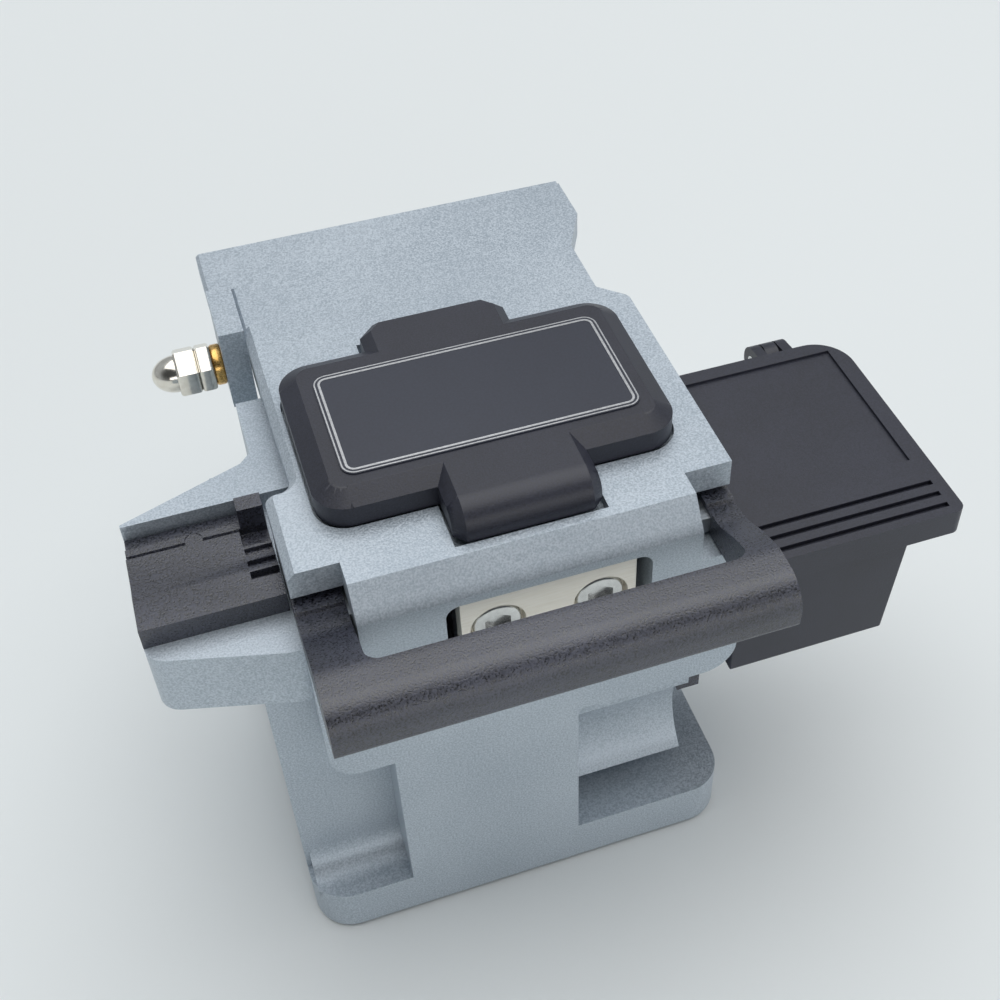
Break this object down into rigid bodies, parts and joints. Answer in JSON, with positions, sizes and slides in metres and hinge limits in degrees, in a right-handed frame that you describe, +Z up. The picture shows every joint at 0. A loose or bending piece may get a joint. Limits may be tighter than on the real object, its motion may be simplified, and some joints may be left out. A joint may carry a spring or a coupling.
{
  "type": "fibre cleaver",
  "caption": "Bench-top optical fibre cleaver: blue-grey cast body with hinged lid and press pad, U-shaped slider handle, fibre guide wing, scoring disc and scrap box.",
  "frame": {"origin": "on the table, under the middle of the foot plate and the body's centre line", "axes": "+X to the right along the clamped fibre, +Y to the back, +Z up"},
  "size_m": [0.0932, 0.0772, 0.0666],
  "materials": {
    "body_paint": "bead-blasted and anodised blue-grey",
    "black_anodised": "black anodised, grained",
    "black_moulding": "fine spark-eroded black",
    "label": "printed foil with a silver border",
    "bright_plate": "ground and nickel plated",
    "machined_alloy": "milled",
    "rail_steel": "ground",
    "screw_steel": "bright stainless",
    "nickel": "nickel plated",
    "brass": "turned",
    "rubber": "matt black",
    "carbide": "lapped edge",
    "spring_steel": "wire"
  },
  "bodies": {
    "base": {"base_body": "body_paint", "rubber_base_pad": "rubber", "fibre_guide_plate": "black_anodised", "guide_plate_screws": "screw_steel", "lower_clamp_left": "rubber", "lower_clamp_right": "rubber", "latch_magnets": "nickel", "guide_rail": "rail_steel", "rail_screws": "screw_steel", "hinge_axle": "screw_steel", "spring_washer": "brass", "lock_nut": "nickel", "cap_nut": "nickel", "scrap_box": "black_moulding", "scrap_lid_pin": "screw_steel", "box_bracket": "black_anodised", "bracket_screws": "screw_steel"},
    "lid": {"lid_plate": "body_paint", "upper_clamp_left": "rubber", "upper_clamp_right": "rubber", "lid_strikers": "nickel", "pad_springs": "spring_steel"},
    "pad": {"press_pad": "black_moulding", "label_plate": "label", "anvil": "rubber", "pad_guide_pins": "screw_steel"},
    "slider": {"slider_handle": "black_anodised", "slider_yoke": "machined_alloy", "carriage_block": "machined_alloy", "bearing_block": "rail_steel", "bearing_screws": "screw_steel", "front_plate": "bright_plate", "front_plate_screws": "screw_steel", "disc_hub": "nickel", "disc_cap": "nickel", "disc_screw": "screw_steel"},
    "disc": {"scoring_disc": "carbide"},
    "box_lid": {"scrap_box_lid": "black_moulding"}
  },
  "joints": [
    {"name": "lid_hinge", "type": "hinge", "parent": "base", "child": "lid", "pos_m": [0, 0.0245, 0.055], "axis": [-1, 0, 0], "range_deg": [0, 65]},
    {"name": "pad_press", "type": "slide", "parent": "lid", "child": "pad", "axis": [0, 0, -1], "range_m": [0, 0.001], "stiffness_N_per_m": 1500, "springref_m": -0.0005, "deforming": ["pad_springs"]},
    {"name": "slider_stroke", "type": "slide", "parent": "base", "child": "slider", "axis": [0, 1, 0], "range_m": [0, 0.0054]},
    {"name": "disc_index", "type": "hinge", "parent": "slider", "child": "disc", "pos_m": [0.0017, -0.01, 0.0494], "axis": [1, 0, 0], "continuous": true},
    {"name": "scrap_lid_hinge", "type": "hinge", "parent": "base", "child": "box_lid", "pos_m": [0, 0.0095, 0.0476], "axis": [-1, 0, 0], "range_deg": [0, 100]}
  ]
}
